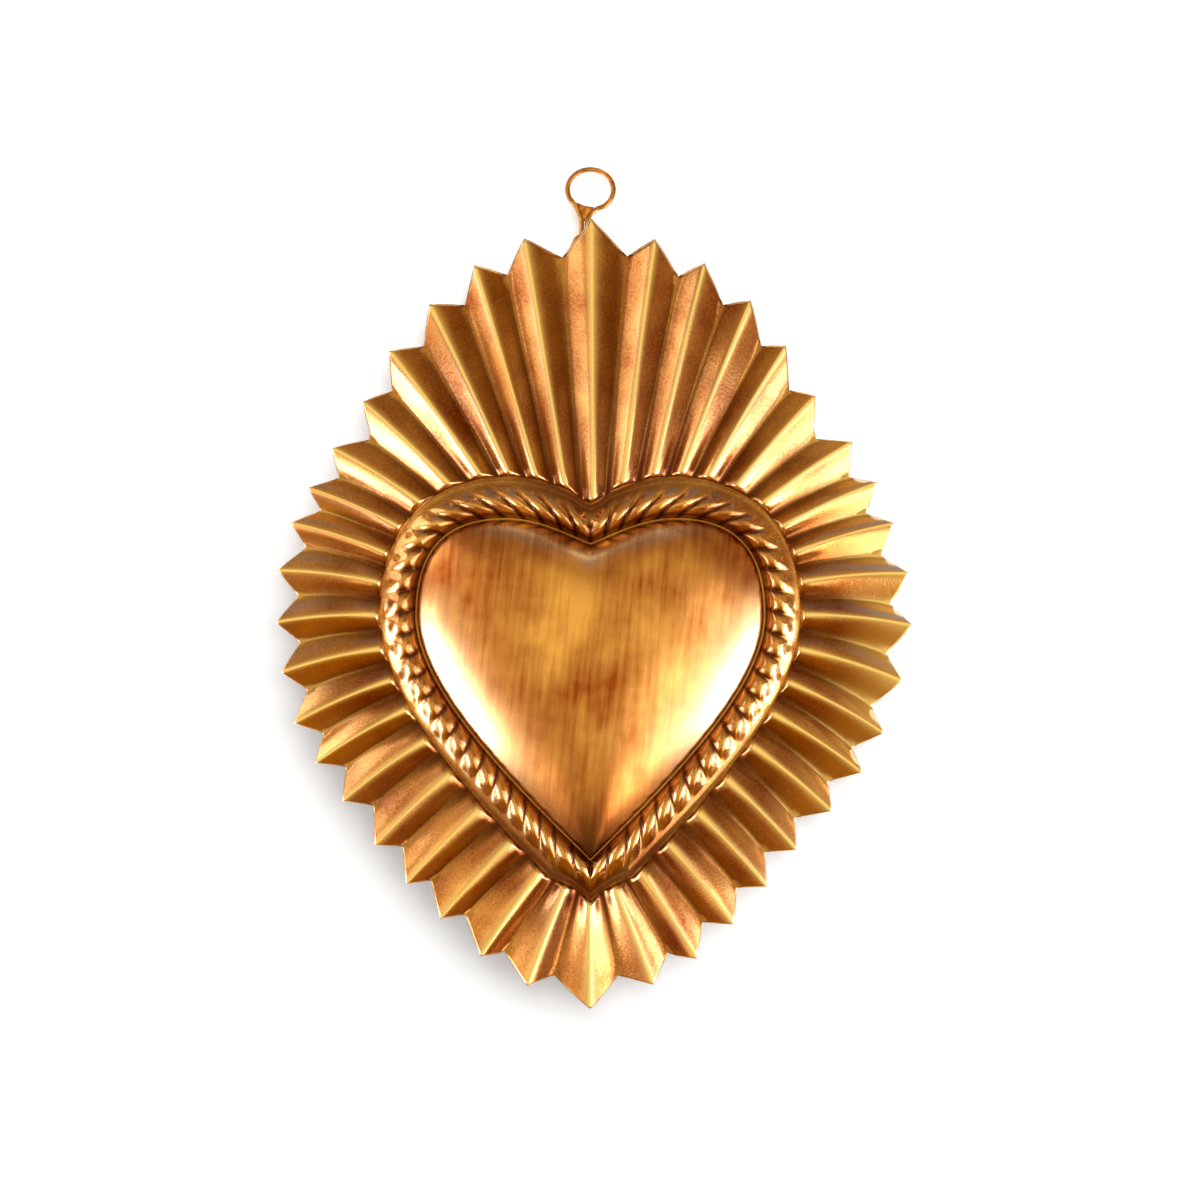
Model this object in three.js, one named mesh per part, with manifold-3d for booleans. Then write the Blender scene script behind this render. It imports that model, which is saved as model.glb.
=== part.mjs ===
// A heart ornament pressed from one thin sheet: a puffed heart in a moat, a rope border round it and a fan of
// pleated rays with saw-tooth ends. It hangs from a wire eye that is soldered in behind the top ray.
// Millimetres, +Z up, the front faces -Y. The origin is where a nail bears inside the top of the eye.

import * as THREE from 'three';
import { mergeVertices } from 'three/addons/utils/BufferGeometryUtils.js';
import Module from 'manifold-3d';

// The sheet
const sheetThickness = 0.35;

// The heart, measured from the hub that the rays fan from
const heartWidth = 57.6;
const sideHeight = 2.5; // of the widest place above the hub
const lobeSpacing = 28.4;
const lobeHeight = 18.25;
const cleftDepth = 4.15; // of the cleft below the lobes
const tipDepth = 38.1;
const heartRise = 8;

// The rope border, with two flat strips: the moat inside it and the shoulder between it and the rays
const moatWidth = 0.4;
const ropeWidth = 5.4;
const ropeRise = 2;
const strandCount = 54;
const strandGroove = 0.6; // share of the rope's rise
const strandAngle = 30; // degrees between a strand and the square across the rope
const shoulderAtSides = 0.3;
const shoulderAtEnds = 1.2;
const shoulderRise = 0.3;

// The rays
const rayCount = 40;
const rayLength = 17.6;
const flameLength = 49.8; // of the top ray, the longest of the flame above the heart
const flameRays = 5.35; // rays to either side over which the flame comes down to rayLength
const notchDepth = 3.7;
const flameNotchDepth = 4.6;
const ridgeRiseAtRope = 1.4;
const ridgeRiseAtTip = 2.5;
const ridgeCapLength = 0.9; // of the rounded inner end of a ridge
const rayBow = 1.2; // of the rays at the sides, upwards out of the straight

// The wire eye
const wireDiameter = 0.85;
const eyeWidth = 6.8; // of the clear opening
const eyeHeight = 5.9;
const neckLength = 1.8; // from the opening down to the tip of the top ray
const legSpacing = 1.2;
const legShift = -1; // of the pair of legs, to the left of the axis
const legLength = 7; // behind the sheet

// The solder
const solderGap = 0.12; // left between the pieces
const webThickness = 0.6;
const seatWidth = 4.4;
const seatLength = 4.6;
const seatRise = 0.8; // behind the middle of the legs

// Shape of the curves, as shares of the sizes above
const cleftPull = new THREE.Vector2(0.25, 0.31); // of the way from the cleft to the lobe's top
const lobePull = new THREE.Vector2(0.65, 0.7); // of the way from the lobe's top to the side
const lobeInnerPull = 0.42;
const flankPull = 0.3;
const tipPull = new THREE.Vector2(0.45, 0.32);
const crownFlatness = [1.8, 2.4]; // powers of the heart's pillow shape, at its top and from its sides down
const crownBlur = 40; // degrees to either side over which the heart's corners are evened out at the hub
const grooveRunIn = [-1, -0.5]; // places across the rope, from -1 to 1, between which its grooves deepen
const grooveRunOut = [-0.1, 0.6]; // and between which they run out again
const notchSkew = 0.65; // degrees, of a notch past the middle between two tips
// The rays are cut by hand: waves round the fan, how large they are and the degrees at which each starts.
const rayLean = [
  [0, 0.5, 0], [1, 1, 68], [2, 1.1, 68], [3, 4.1, -84],
  [4, 1.5, 98], [5, 1.4, -95], [7, 0.4, -114], [8, 0.5, -86],
]; // degrees, of the inner end ahead of its even place
const tipWander = [
  [0, 0.25, 0], [1, 0.7, 142], [2, 0.45, 118], [3, 0.5, -32], [5, 0.45, 77], [8, 0.65, -96], [14, 0.35, -67],
]; // degrees
const tipTrim = [
  [1, 0.5, -156], [2, 0.65, -172], [3, 0.4, 145], [4, 0.35, 153],
  [5, 0.45, 180], [6, 0.2, 159], [11, 0.3, 144],
];
const cornerBlend = 9; // degrees over which the border rounds the heart's corners
const eyeLeftTurn = 225; // degrees round the eye where the left leg leaves it
const eyeRightTurn = -75;

// Fineness of the facets
const edgeSteps = 40;
const domeColumns = 80;
const domeShares = [0.22, 0.42, 0.6, 0.75, 0.86, 0.94, 1];
const columnsPerStrand = 4;
const ropeLines = [-1, -0.65, -0.25, 0.2, 0.6, 1];
const columnsPerRay = 4;
const capStations = [0, 0.35, 1];
const runStations = [0.33, 0.67, 1];
const wireSides = 10;
const wireSteps = 56;
const eyeSteps = 14;
const dropColumns = 20;

const wireRadius = wireDiameter / 2;
const radians = THREE.MathUtils.degToRad;
const lerp = THREE.MathUtils.lerp;
const smoothstep = THREE.MathUtils.smoothstep;

// The heart's edge

// The right half of the heart's edge, from the cleft over the lobe and down the flank to the tip.
function heartEdge() {
  const cleft = new THREE.Vector2(0, lobeHeight - cleftDepth);
  const lobe = new THREE.Vector2(lobeSpacing / 2, lobeHeight);
  const side = new THREE.Vector2(heartWidth / 2, sideHeight);
  const tip = new THREE.Vector2(0, -tipDepth);
  const pulled = (from, to, share) => new THREE.Vector2(
    lerp(from.x, to.x, share.x),
    lerp(from.y, to.y, share.y),
  );
  const lobeOut = new THREE.Vector2(lerp(lobe.x, side.x, lobePull.x), lobe.y);
  const sideIn = new THREE.Vector2(side.x, lerp(side.y, lobe.y, lobePull.y));
  const sideOut = new THREE.Vector2(side.x, lerp(side.y, tip.y, flankPull));
  const lobeIn = new THREE.Vector2(lerp(lobe.x, cleft.x, lobeInnerPull), lobe.y);
  return [
    new THREE.CubicBezierCurve(cleft, pulled(cleft, lobe, cleftPull), lobeIn, lobe),
    new THREE.CubicBezierCurve(lobe, lobeOut, sideIn, side),
    new THREE.CubicBezierCurve(side, sideOut, pulled(tip, side, tipPull), tip),
  ].flatMap((curve) => curve.getPoints(edgeSteps));
}

const edge = heartEdge().map((point) => ({
  angle: Math.atan2(point.x, point.y),
  radius: point.length(),
}));

// Value of a rising table at a place in it.
function lookUp(table, key, value, place) {
  const next = Math.max(1, table.findIndex((row) => row[key] >= place));
  const [low, high] = [table[next - 1], table[next]];
  const share = (place - low[key]) / (high[key] - low[key] || 1);
  return lerp(low[value], high[value], share);
}

// Distance of the heart's edge from the hub, at an angle from straight up.
function heartRadius(angle) {
  const turn = Math.abs(Math.atan2(Math.sin(angle), Math.cos(angle)));
  return lookUp(edge, 'angle', 'radius', turn);
}

// Distance from the hub of a line that follows the heart's edge, this far outside it.
function borderRadius(angle, outside) {
  const step = radians(cornerBlend);
  const radius = heartRadius(angle);
  const slope = (heartRadius(angle + step) - heartRadius(angle - step)) / (2 * step * radius);
  return radius + outside * Math.hypot(1, slope);
}

// The sheet's front, as rings of points once round the hub, clockwise from the top

// A point of the front: a direction and a distance from the hub, raised towards the viewer.
function raised(angle, radius, rise) {
  return new THREE.Vector3(radius * Math.sin(angle), -rise, radius * Math.cos(angle));
}

function ring(count, pointAt) {
  return Array.from({ length: count }, (_, column) => pointAt(column));
}

// The puffed heart: copies of its edge shrunk to the hub, on a pillow that is flatter across than upright.
// Towards the hub the copies lose the heart's corners, so that no crease runs over the crown.
function domeRings() {
  return domeShares.map((share) => ring(domeColumns, (column) => {
    const angle = 2 * Math.PI * column / domeColumns;
    const fromTop = Math.min(angle, 2 * Math.PI - angle);
    const power = lerp(...crownFlatness, smoothstep(fromTop, 0, Math.PI / 2));
    const blur = radians(crownBlur) * (1 - share);
    const radii = [-1, -0.5, 0, 0.5, 1].map((side) => heartRadius(angle + side * blur));
    const radius = radii.reduce((sum, part) => sum + part) / radii.length;
    return raised(angle, share * radius, heartRise * (1 - share ** power));
  }));
}

// Angles and running lengths along the middle of one half of the rope, from the top to the bottom.
function ropeMiddle() {
  const rows = [];
  let length = 0;
  let last = null;
  for (let step = 0; step <= 4 * edgeSteps; step += 1) {
    const angle = Math.PI * step / (4 * edgeSteps);
    const point = raised(angle, borderRadius(angle, moatWidth + ropeWidth / 2), 0);
    length += last ? point.distanceTo(last) : 0;
    rows.push({ angle, length });
    last = point;
  }
  return rows;
}

// The rope: a rounded bead between the moat and the shoulder. Its strands cross it at an angle, mirrored
// about the upright axis.
function ropeRings() {
  const middle = ropeMiddle();
  const half = middle.at(-1).length;
  const columns = strandCount * columnsPerStrand;
  const pitch = 2 * half / strandCount;
  return ropeLines.map((side) => ring(columns, (column) => {
    const mirrored = column > columns / 2;
    const along = (mirrored ? columns - column : column) * 2 * half / columns;
    const straighten = Math.min(1, Math.min(along, half - along) / (2 * pitch));
    const slant = straighten * side * ropeWidth / 2 * Math.tan(radians(strandAngle));
    const angle = lookUp(middle, 'length', 'angle', along + slant) * (mirrored ? -1 : 1);
    const depth = strandGroove * smoothstep(side, ...grooveRunIn) * (1 - smoothstep(side, ...grooveRunOut));
    const groove = depth * (1 + Math.cos(2 * Math.PI * column / columnsPerStrand)) / 2;
    const bead = lerp(ropeRise, side < 0 ? 0 : shoulderRise, side ** 2);
    const outside = moatWidth + ropeWidth * (1 + side) / 2;
    return raised(angle, borderRadius(angle, outside), bead * (1 - groove));
  }));
}

// Share of the flame in a ray: 1 in the top ray, 0 in the plain rays. Rays count clockwise from the top.
function flameShare(ray) {
  const fromTop = Math.min(ray, rayCount - ray);
  return Math.max(0, 1 - fromTop / flameRays);
}

// Share of the pleat's rise: 1 on a ridge, at a whole ray, and 0 in the valley halfway to the next.
function pleat(ray) {
  return Math.abs(2 * (ray - Math.floor(ray)) - 1);
}

// Sum of waves round the fan.
function wavesAt(place, waves) {
  const parts = waves.map(([count, size, start]) => size * Math.cos(count * place + radians(start)));
  return parts.reduce((sum, part) => sum + part);
}

// Both ends of the line that a ray's ridge or valley runs along, flat on the wall, and its bow, clockwise.
function rayLine(ray) {
  const place = 2 * Math.PI * ray / rayCount;
  const lean = radians(wavesAt(place, rayLean));
  const angle = place + lean;
  const tipAngle = place + radians(wavesAt(place, tipWander) + notchSkew * (1 - pleat(ray)));
  const shoulder = lerp(shoulderAtSides, shoulderAtEnds, Math.cos(angle) ** 2);
  const radius = borderRadius(angle, moatWidth + ropeWidth + shoulder);
  const length = lerp(rayLength, flameLength, flameShare(ray)) + wavesAt(place, tipTrim);
  const notch = lerp(notchDepth, flameNotchDepth, flameShare(ray)) * (1 - pleat(ray));
  const aside = radius * Math.sin(lean);
  const tipRadius = radius * Math.cos(lean) + Math.sqrt(length ** 2 - aside ** 2);
  const inner = raised(angle, radius, 0);
  const outer = raised(tipAngle, tipRadius - notch, 0);
  return { inner, outer, bow: -rayBow * Math.sin(place) };
}

// Height of a ridge at a share of its length, without its rounded inner end.
function ridgeRise(share) {
  return lerp(ridgeRiseAtRope, ridgeRiseAtTip, share);
}

// A point of a ray, this far from its inner end.
function rayPoint(ray, along) {
  const { inner, outer, bow } = rayLine(ray);
  const length = inner.distanceTo(outer);
  const share = along / length;
  const cap = Math.sqrt(1 - (1 - Math.min(1, along / ridgeCapLength)) ** 2);
  const floor = shoulderRise * (1 - share);
  const point = inner.clone().lerp(outer, share);
  const aside = bow * 4 * share * (1 - share) / length;
  point.x += aside * (outer.z - inner.z);
  point.z -= aside * (outer.x - inner.x);
  point.y = -(floor + ridgeRise(share) * cap * pleat(ray));
  return point;
}

// The rays: pleats that start in rounded ends at the shoulder and are cut to a saw-tooth rim.
function rayRings() {
  const columns = rayCount * columnsPerRay;
  const capRings = capStations.map((station) => ring(columns, (column) => (
    rayPoint(column / columnsPerRay, station * ridgeCapLength)
  )));
  const runRings = runStations.map((station) => ring(columns, (column) => {
    const ray = column / columnsPerRay;
    const { inner, outer } = rayLine(ray);
    return rayPoint(ray, lerp(ridgeCapLength, inner.distanceTo(outer), station));
  }));
  return [...capRings, ...runRings];
}

// The sheet as a closed solid

const directionOf = (point) => (Math.atan2(point.x, point.z) + 2 * Math.PI) % (2 * Math.PI);

// Triangles of the strip between two rings, given by their points and the number of their first point.
function strip(inner, outer, innerStart, outerStart) {
  const triangles = [];
  const turns = (points) => [...points.map(directionOf), 2 * Math.PI];
  const [innerTurns, outerTurns] = [turns(inner), turns(outer)];
  const sameColumns = inner.length === outer.length;
  let [i, o] = [0, 0];
  while (i < inner.length || o < outer.length) {
    const a = innerStart + i % inner.length;
    const b = outerStart + o % outer.length;
    const outerNext = sameColumns ? o === i : outerTurns[o + 1] <= innerTurns[i + 1];
    if (i === inner.length || (o < outer.length && outerNext)) {
      o += 1;
      triangles.push([a, outerStart + o % outer.length, b]);
    } else {
      i += 1;
      triangles.push([a, innerStart + i % inner.length, b]);
    }
  }
  return triangles;
}

// How far behind each front point the back lies, so that slopes keep the sheet's thickness.
function backOffsets(points, triangles) {
  const offsets = points.map(() => Infinity);
  for (const corners of triangles) {
    const triangle = new THREE.Triangle(...corners.map((corner) => points[corner]));
    const normal = triangle.getNormal(new THREE.Vector3());
    for (const corner of corners) {
      offsets[corner] = Math.min(offsets[corner], sheetThickness / Math.abs(normal.y));
    }
  }
  return offsets;
}

function sheetGeometry() {
  const rings = [...domeRings(), ...ropeRings(), ...rayRings()];
  const points = [raised(0, 0, heartRise)];
  const starts = rings.map((points_) => {
    const start = points.length;
    points.push(...points_);
    return start;
  });
  const front = rings[0].map((_, column) => [0, 1 + (column + 1) % domeColumns, 1 + column]);
  for (let i = 1; i < rings.length; i += 1) {
    front.push(...strip(rings[i - 1], rings[i], starts[i - 1], starts[i]));
  }
  const offsets = backOffsets(points, front);
  const behind = points.map((point, i) => point.clone().setY(point.y + offsets[i]));
  const shift = points.length;
  const back = front.map(([a, b, c]) => [a + shift, c + shift, b + shift]);
  const rim = rings.at(-1).flatMap((_, column, last) => {
    const here = starts.at(-1) + column;
    const next = starts.at(-1) + (column + 1) % last.length;
    return [[here, next, next + shift], [here, next + shift, here + shift]];
  });
  const geometry = new THREE.BufferGeometry().setFromPoints([...points, ...behind]);
  geometry.setIndex([...front, ...back, ...rim].flat());
  geometry.computeVertexNormals();
  return geometry;
}

// Where the sheet hangs: the fold behind the top ray lies on the legs of the wire

const topLine = rayLine(0);
const topLength = topLine.inner.distanceTo(topLine.outer);
const tipHeight = -(eyeHeight + neckLength);
const hubHeight = tipHeight - topLine.outer.z;
const lowShare = 1 - legLength / topLength;
const foldMiddle = topLine.outer.x;
const foldEdges = [0.5, rayCount - 0.5].map((ray) => rayPoint(ray, topLength * lowShare).x);
const foldHalfWidth = Math.min(...foldEdges.map((x) => Math.abs(x - foldMiddle)));
const foldSlope = ridgeRise(1) / foldHalfWidth;
const foldDepth = sheetThickness * Math.hypot(1, foldSlope);
const legReach = Math.abs(legShift - foldMiddle) + legSpacing / 2;
const legClearance = (wireRadius + solderGap) * Math.hypot(1, foldSlope) + legReach * foldSlope;
const foldFront = rayPoint(0, topLength * lowShare).y;
const sheetPlace = new THREE.Vector3(0, -(foldFront + foldDepth + legClearance), hubHeight);

// The wire, in the plane y = 0

const eyeCentre = -eyeHeight / 2;

// A point round the eye, this far outside its clear opening.
function eyePoint(degrees, outside) {
  const turn = radians(degrees);
  const x = (eyeWidth / 2 + outside) * Math.cos(turn);
  return new THREE.Vector3(x, 0, eyeCentre + (eyeHeight / 2 + outside) * Math.sin(turn));
}

function wirePath() {
  const leg = (side) => [0, 0.5, 1].map((share) => (
    new THREE.Vector3(legShift + side * legSpacing / 2, 0, tipHeight - share * legLength)
  ));
  const eye = ring(eyeSteps + 1, (step) => (
    eyePoint(lerp(eyeLeftTurn, eyeRightTurn, step / eyeSteps), wireRadius)
  ));
  return new THREE.CatmullRomCurve3([...leg(-1).reverse(), ...eye, ...leg(1)]);
}

function wireGeometry(radius) {
  const section = new THREE.Shape().absarc(0, 0, radius, 0, 2 * Math.PI);
  return new THREE.ExtrudeGeometry(section, {
    extrudePath: wirePath(),
    steps: wireSteps,
    curveSegments: wireSides / 2,
  });
}

// Solids for joining and cutting

const wasm = await Module();
wasm.setup();

function solidOf(geometry) {
  const bare = geometry.clone();
  bare.deleteAttribute('normal');
  bare.deleteAttribute('uv');
  const merged = mergeVertices(bare, 1e-4);
  return new wasm.Manifold(new wasm.Mesh({
    numProp: 3,
    vertProperties: merged.attributes.position.array,
    triVerts: new Uint32Array(merged.index.array),
  }));
}

function geometryOf(solid) {
  const { vertProperties, triVerts } = solid.getMesh();
  const geometry = new THREE.BufferGeometry();
  geometry.setAttribute('position', new THREE.BufferAttribute(vertProperties, 3));
  geometry.setIndex(new THREE.BufferAttribute(triVerts, 1));
  geometry.computeVertexNormals();
  return geometry;
}

// The solder

const wireRoom = solidOf(wireGeometry(wireRadius + solderGap));

// The web in the fork of the legs: its upper edge carries on the curve of the eye's opening.
function crotchGeometry() {
  const arc = ring(eyeSteps + 1, (step) => (
    eyePoint(lerp(eyeLeftTurn, eyeRightTurn + 360, step / eyeSteps), 0)
  ));
  const foot = new THREE.Vector2(legShift, tipHeight);
  const outline = new THREE.Shape([...arc.map((point) => new THREE.Vector2(point.x, point.z)), foot]);
  const web = new THREE.ExtrudeGeometry(outline, { depth: webThickness, bevelEnabled: false });
  web.rotateX(Math.PI / 2).translate(0, webThickness / 2, 0);
  return geometryOf(solidOf(web).subtract(wireRoom));
}

// The seat behind the legs: a drop of solder, hollowed for the legs and for the fold that it lies in.
function seatGeometry() {
  const drop = new THREE.SphereGeometry(1, dropColumns, dropColumns / 2);
  drop.scale(seatWidth / 2, seatRise, seatLength / 2);
  drop.translate(legShift, 0, tipHeight - legLength + seatLength / 2);
  const far = seatWidth + heartRise;
  const foldBack = foldFront + foldDepth + sheetPlace.y + solderGap * Math.hypot(1, foldSlope);
  const fold = new THREE.Shape([
    new THREE.Vector2(foldMiddle, foldBack),
    new THREE.Vector2(foldMiddle + far, foldBack + far * foldSlope),
    new THREE.Vector2(foldMiddle + far, -far),
    new THREE.Vector2(foldMiddle - far, -far),
    new THREE.Vector2(foldMiddle - far, foldBack + far * foldSlope),
  ].reverse());
  const room = new THREE.ExtrudeGeometry(fold, { depth: 2 * legLength, bevelEnabled: false });
  room.translate(0, 0, tipHeight - 2 * legLength);
  const between = new THREE.BoxGeometry(legSpacing, 2 * seatRise, 2 * seatLength);
  between.translate(legShift, -seatRise, tipHeight - legLength);
  return geometryOf(
    solidOf(drop).subtract(solidOf(room)).subtract(solidOf(between)).subtract(wireRoom),
  );
}

// The assembly

const antiqueGold = new THREE.MeshStandardMaterial({ color: 0xb5772c, metalness: 1, roughness: 0.38 });
const brightWire = new THREE.MeshStandardMaterial({ color: 0xc08a45, metalness: 1, roughness: 0.3 });
const solder = new THREE.MeshStandardMaterial({ color: 0xb98a4a, metalness: 1, roughness: 0.35 });

function piece(name, geometry, material) {
  const mesh = new THREE.Mesh(geometry, material);
  mesh.name = name;
  return mesh;
}

const sheet = piece('pressed_sheet', sheetGeometry(), antiqueGold);
sheet.position.copy(sheetPlace);

const ornament = new THREE.Group();
ornament.add(
  sheet,
  piece('hanger_wire', wireGeometry(wireRadius), brightWire),
  piece('crotch_solder', crotchGeometry(), solder),
  piece('leg_solder', seatGeometry(), solder),
);

export default ornament;
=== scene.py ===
"""A puffed heart pressed from antiqued brass sheet, in a rope border and a fan of pleated rays, on a white wall.

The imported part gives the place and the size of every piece. The sheet, its wire eye and the solder are worked
out again here as fine surfaces, in millimetres, and each stands for its solid.
"""

import bpy
import numpy as np
from mathutils import Matrix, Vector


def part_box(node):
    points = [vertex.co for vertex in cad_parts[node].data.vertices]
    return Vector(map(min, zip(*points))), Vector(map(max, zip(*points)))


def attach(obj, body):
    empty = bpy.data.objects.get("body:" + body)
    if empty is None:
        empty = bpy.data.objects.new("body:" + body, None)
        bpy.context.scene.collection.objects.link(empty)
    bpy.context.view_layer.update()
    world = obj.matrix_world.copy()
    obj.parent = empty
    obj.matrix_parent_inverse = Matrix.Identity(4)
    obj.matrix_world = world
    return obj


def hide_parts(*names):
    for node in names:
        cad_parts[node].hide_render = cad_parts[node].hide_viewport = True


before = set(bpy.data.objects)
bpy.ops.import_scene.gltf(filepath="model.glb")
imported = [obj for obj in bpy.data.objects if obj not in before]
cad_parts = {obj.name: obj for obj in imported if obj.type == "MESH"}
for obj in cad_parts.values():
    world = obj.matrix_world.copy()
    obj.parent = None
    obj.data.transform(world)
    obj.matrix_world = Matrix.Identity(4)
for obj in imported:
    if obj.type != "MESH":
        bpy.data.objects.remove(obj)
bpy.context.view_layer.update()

MM = 0.001

# The sheet, as it was cut and pressed: sizes in millimetres, measured from the hub of the fan
SHEET_THICKNESS = 0.35
HEART_WIDTH = 57.6
SIDE_HEIGHT = 2.5
LOBE_SPACING = 28.4
LOBE_HEIGHT = 18.25
CLEFT_DEPTH = 4.15
TIP_DEPTH = 38.1
HEART_RISE = 8
CROWN_DROP = 4
MOAT_WIDTH = 0.4
ROPE_WIDTH = 5.4
ROPE_RISE = 1.3
ROPE_ROUND = 0.6
ROPE_FOOT = 0.3
STRAND_COUNT = 54
STRAND_SWELL = 0.85
SHOULDER_AT_SIDES = 0.3
SHOULDER_AT_ENDS = 1.2
RAY_COUNT = 40
RAY_LENGTH = 17.6
FLAME_LENGTH = 49.8
NOTCH_DEPTH = 3.7
FLAME_NOTCH_DEPTH = 4.6
NOTCH_LIP = 0.3
NOTCH_LIP_LENGTH = 1
RIDGE_RISE_AT_ROPE = 1.4
RIDGE_RISE_AT_TIP = 2.5
RIDGE_CAP_LENGTH = 0.9
RAY_BOW = 0.5

# Shares of its curves
CLEFT_PULL = np.array([0.25, 0.31])
LOBE_PULL = np.array([0.65, 0.7])
LOBE_INNER_PULL = 0.42
FLANK_PULL = 0.3
TIP_PULL = np.array([0.45, 0.32])
CROWN_POWERS = (2.2, 7)
CROWN_SHARES = (0.6, 0.9)
CROWN_STEP = 0.12
CROWN_STEP_POWER = 300
CROWN_BLUR = 0.35
ROPE_CREST = -0.1
ROPE_FALL = 0.42
STRAND_MIDDLE = -0.02
STRAND_REACH = 0.85
STRAND_TAPER = 1.5
FLAME_RAYS = 5.35
FINGER_SHARE = 0.45
RIDGE_ROUND = 0.35
VALLEY_ROUND = 0.25

# Angles, in degrees
STRAND_ANGLE = 24
CORNER_BLEND = 9
NOTCH_SKEW = 0.65

# How the rays were set by hand, as cosines round the fan: how many waves, how large and the angle at which each
# starts. Inner ends lean and tips wander by degrees, and tips are trimmed by millimetres.
RAY_LEAN = (
    (0, 0.5, 0), (1, 1, 68), (2, 1.1, 68), (3, 4.1, -84),
    (4, 1.5, 98), (5, 1.4, -95), (7, 0.4, -114), (8, 0.5, -86),
)
TIP_WANDER = (
    (0, 0.25, 0), (1, 0.7, 142), (2, 0.45, 118), (3, 0.5, -32),
    (5, 0.45, 77), (8, 0.65, -96), (14, 0.35, -67),
)
TIP_TRIM = (
    (1, 0.5, -156), (2, 0.65, -172), (3, 0.4, 145), (4, 0.35, 153),
    (5, 0.45, 180), (6, 0.2, 159), (11, 0.3, 144),
)

# The wire eye and its solder: millimetres and degrees
WIRE_DIAMETER = 0.85
EYE_WIDTH = 6.8
EYE_HEIGHT = 5.9
EYE_LEFT_TURN = 225
EYE_RIGHT_TURN = -75
LEG_SPACING = 1.2
LEG_SHIFT = -1
LEG_LENGTH = 7
WEB_OVERLAP = 6
WEB_MIDDLE = 0.2
WEB_FOOT = 0.5
SEAT_WIDTH = 4.4
SEAT_LENGTH = 4.6
SEAT_RISE = 0.8

# How much stain was left in the hollows, from 0 to 1, with painted shade added round the heart's foot, in the
# rope and on the shoulder. The rope's outer foot gets painted shade only, and the pleat values darken the rays'
# sloping faces.
LOBE_EDGE_STAIN_AND_SHADE = 0.5
FLANK_EDGE_STAIN_AND_SHADE = 0.4
TIP_STAIN = 0.9
TIP_STAIN_WIDTH = 6
TIP_STAIN_HEIGHT = 12
MOAT_STAIN_AND_SHADE = 0.5
GROOVE_STAIN_AND_SHADE = 0.95
ROPE_STAIN_AND_SHADE_AT_LOBES = 0.3
ROPE_STAIN_AND_SHADE_AT_FLANKS = 0.75
ROPE_FOOT_SHADE = 0.85
SHOULDER_STAIN_AT_SIDES = 0.2
SHOULDER_STAIN_AND_SHADE_AT_ENDS = 0.9
VALLEY_STAIN_AT_RIM = 0.35
PLEAT_DARKENING = 0.3
LOW_PLEAT_DARKENING = 0.6
BACK_STAIN = 0.4
BACK_STAIN_BEHIND_HOLLOWS = 0.1

# How bright the high places were rubbed, from 0 to 1, and how strong the painted highlight is on the heart's
# flanks and on the outer ends of the rays at both sides
HEART_FLANK_HIGHLIGHT = 0.38
ROPE_RUB = 0.15
LEFT_RAY_HIGHLIGHT = 0.3
RIGHT_RAY_HIGHLIGHT = 0.8

# Soft patches on the heart where the stain was wiped thin or left thick: middle across and up from the hub, half
# widths across and up, and how pale (plus) or dark (minus)
PATCHES = (
    (-1.9, 6.7, 2.3, 6, 0.8), (4.9, -0.8, 2.5, 6, -0.35), (12.9, -5.8, 6, 8, 0.4), (-18.4, 5, 7, 10, -0.4),
    (-6.7, -4.2, 3, 5, 0.3), (24, 11.6, 5, 5, -0.5), (12.4, 15.8, 2.5, 0.8, 0.6),
)

# Fineness of the meshes
EDGE_SAMPLES = 1024
COLUMNS_PER_RAY = 26
DOME_ROWS = 20
STRIP_ROWS = 2
ROPE_ROWS = 21
CAP_ROWS = 7
RUN_ROWS = 17
LAST_ROW_SHARE = 0.98
FRONT_ROWS_PER_BACK_ROW = 3

# The stage: millimetres, and the wall's fall and glow as shares
WALL_REACH = 4000
WALL_GAP = 3.5
WALL_SLOPE = 0.037
WALL_GLOW = 0.35
PANEL_DISTANCE = 95

# The camera looks square at the wall, framed as the photograph is
FRAME_PIXELS = 1200
HANG_POINT_PIXEL = (590.5, 171.9)
PIXEL_SIZE = 140 / 842
CAMERA_DISTANCE = 1100
SENSOR_WIDTH = 36

WIRE_RADIUS = WIRE_DIAMETER / 2


def lerp(start, end, share):
    return start + (end - start) * share


def smooth_step(low, high, value):
    share = np.clip((value - low) / (high - low), 0, 1)
    return share * share * (3 - 2 * share)


# The heart's edge

def heart_table():
    """Half of the heart's edge as angles from straight up and distances from the hub: three cubic curves, from
    the cleft to the top of the lobe, on to the widest place and down the flank to the tip."""
    cleft = np.array([0, LOBE_HEIGHT - CLEFT_DEPTH])
    lobe = np.array([LOBE_SPACING / 2, LOBE_HEIGHT])
    side = np.array([HEART_WIDTH / 2, SIDE_HEIGHT])
    tip = np.array([0, -TIP_DEPTH])
    lobe_in = lerp(lobe, np.array([cleft[0], lobe[1]]), LOBE_INNER_PULL)
    lobe_out = lerp(lobe, np.array([side[0], lobe[1]]), LOBE_PULL[0])
    side_in = lerp(side, np.array([side[0], lobe[1]]), LOBE_PULL[1])
    side_out = lerp(side, np.array([side[0], tip[1]]), FLANK_PULL)
    curves = (
        (cleft, lerp(cleft, lobe, CLEFT_PULL), lobe_in, lobe),
        (lobe, lobe_out, side_in, side),
        (side, side_out, lerp(tip, side, TIP_PULL), tip),
    )
    t = np.linspace(0, 1, 200)[:, None]
    points = np.concatenate([
        (1 - t) ** 3 * a + 3 * t * (1 - t) ** 2 * b + 3 * t ** 2 * (1 - t) * c + t ** 3 * d
        for a, b, c, d in curves
    ])
    return np.arctan2(points[:, 0], points[:, 1]), np.hypot(points[:, 0], points[:, 1])


EDGE_ANGLE, EDGE_RADIUS = heart_table()


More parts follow.
